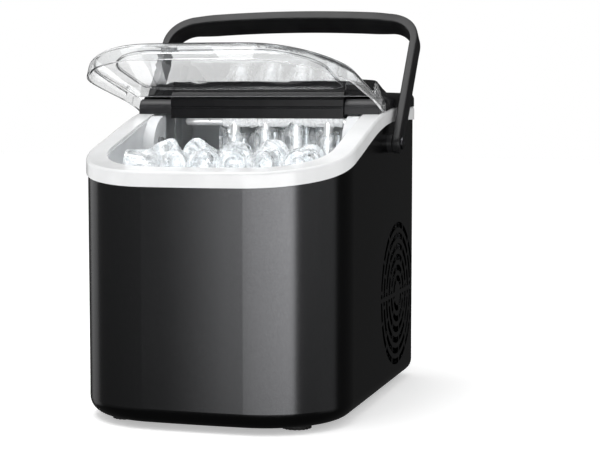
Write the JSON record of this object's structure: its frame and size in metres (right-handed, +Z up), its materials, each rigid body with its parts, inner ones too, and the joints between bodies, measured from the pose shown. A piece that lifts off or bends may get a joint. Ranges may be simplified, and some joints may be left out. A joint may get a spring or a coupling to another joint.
{
  "type": "countertop ice maker",
  "caption": "Countertop bullet-ice maker with a hinged clear lid, a carry handle over the top, a removable ice basket, a tilting water tray and a cooling circuit inside.",
  "frame": {"origin": "centre of the bounding box in plan, on the standing plane under the feet", "axes": "+Z up, -Y towards the front where the lid opens, +X to the right of somebody facing the front"},
  "size_m": [0.2488, 0.3143, 0.3426],
  "materials": {
    "housing_paint": "satin",
    "white_gloss": "gloss",
    "black_gloss": "gloss",
    "black_satin": "satin",
    "clear_plastic": "gloss",
    "liner_plastic": "gloss",
    "smoke_plastic": "gloss",
    "clear_ice": "wet",
    "nickel_tube": "satin",
    "steel": "brushed",
    "galvanised": "satin",
    "aluminium_fins": "satin",
    "copper": "satin",
    "rubber": "matte",
    "foam": "matte",
    "board_green": "matte",
    "lens": "gloss",
    "grey_plastic": "matte"
  },
  "bodies": {
    "cabinet": {"outer_housing": "housing_paint", "base_pan": "galvanised", "feet": "rubber", "rear_cover": "housing_paint", "rear_screws": "steel", "cord_gland": "rubber", "top_rim": "white_gloss", "top_deck": "black_gloss", "control_panel": "black_gloss", "indicator_lenses": "lens", "display_board": "board_green", "hinge_block_right": "black_gloss", "hinge_block_left": "black_gloss", "hinge_pins": "steel", "handle_bosses": "black_satin", "handle_screws": "steel", "inner_liner": "liner_plastic", "insulation_foam": "foam", "tub_cheek_left": "liner_plastic", "tub_cheek_right": "liner_plastic", "ice_basket": "smoke_plastic", "basket_rails": "liner_plastic", "ice_in_basket": "clear_ice", "evaporator_manifold": "nickel_tube", "evaporator_fingers": "nickel_tube", "evaporator_bracket": "steel", "ice_on_fingers": "clear_ice", "tray_bearing": "grey_plastic", "tray_motor": "grey_plastic", "water_pump": "grey_plastic", "water_hose": "smoke_plastic", "drain_spout": "grey_plastic", "ice_full_sensors": "grey_plastic", "compressor": "housing_paint", "compressor_grommets": "rubber", "condenser": "aluminium_fins", "fan_shroud": "galvanised", "fan_motor": "steel", "filter_drier": "copper", "discharge_pipe": "copper", "suction_pipe": "copper", "capillary_tube": "copper", "hot_gas_valve": "steel", "main_board": "board_green", "board_parts": "black_satin"},
    "lid": {"lid": "clear_plastic"},
    "handle": {"handle": "black_satin"},
    "tray": {"water_tray": "liner_plastic"},
    "fan": {"fan_blade": "grey_plastic"},
    "plug": {"drain_plug": "rubber"},
    "power_key": {"button_power": "black_satin"},
    "size_key": {"button_size": "black_satin"},
    "clean_key": {"button_clean": "black_satin"}
  },
  "joints": [
    {"name": "lid_hinge", "type": "hinge", "parent": "cabinet", "child": "lid", "pos_m": [0, 0.019, 0.253], "axis": [-1, 0, 0], "range_deg": [-28, 62]},
    {"name": "handle_pivot", "type": "hinge", "parent": "cabinet", "child": "handle", "pos_m": [0, 0.04, 0.2217], "axis": [1, 0, 0], "range_deg": [-50, 38]},
    {"name": "tray_tilt", "type": "hinge", "parent": "cabinet", "child": "tray", "pos_m": [0, 0.088, 0.211], "axis": [1, 0, 0], "range_deg": [0, 45]},
    {"name": "fan_spin", "type": "hinge", "parent": "cabinet", "child": "fan", "pos_m": [0.084, 0.078, 0.076], "axis": [1, 0, 0], "continuous": true},
    {"name": "plug_pull", "type": "slide", "parent": "cabinet", "child": "plug", "axis": [-1, 0, 0], "range_m": [0, 0.02]},
    {"name": "power_press", "type": "slide", "parent": "cabinet", "child": "power_key", "axis": [0, 0, -1], "range_m": [0, 0.0008], "stiffness_N_per_m": 400, "springref_m": -0.0004},
    {"name": "size_press", "type": "slide", "parent": "cabinet", "child": "size_key", "axis": [0, 0, -1], "range_m": [0, 0.0008], "stiffness_N_per_m": 400, "springref_m": -0.0004},
    {"name": "clean_press", "type": "slide", "parent": "cabinet", "child": "clean_key", "axis": [0, 0, -1], "range_m": [0, 0.0008], "stiffness_N_per_m": 400, "springref_m": -0.0004}
  ]
}
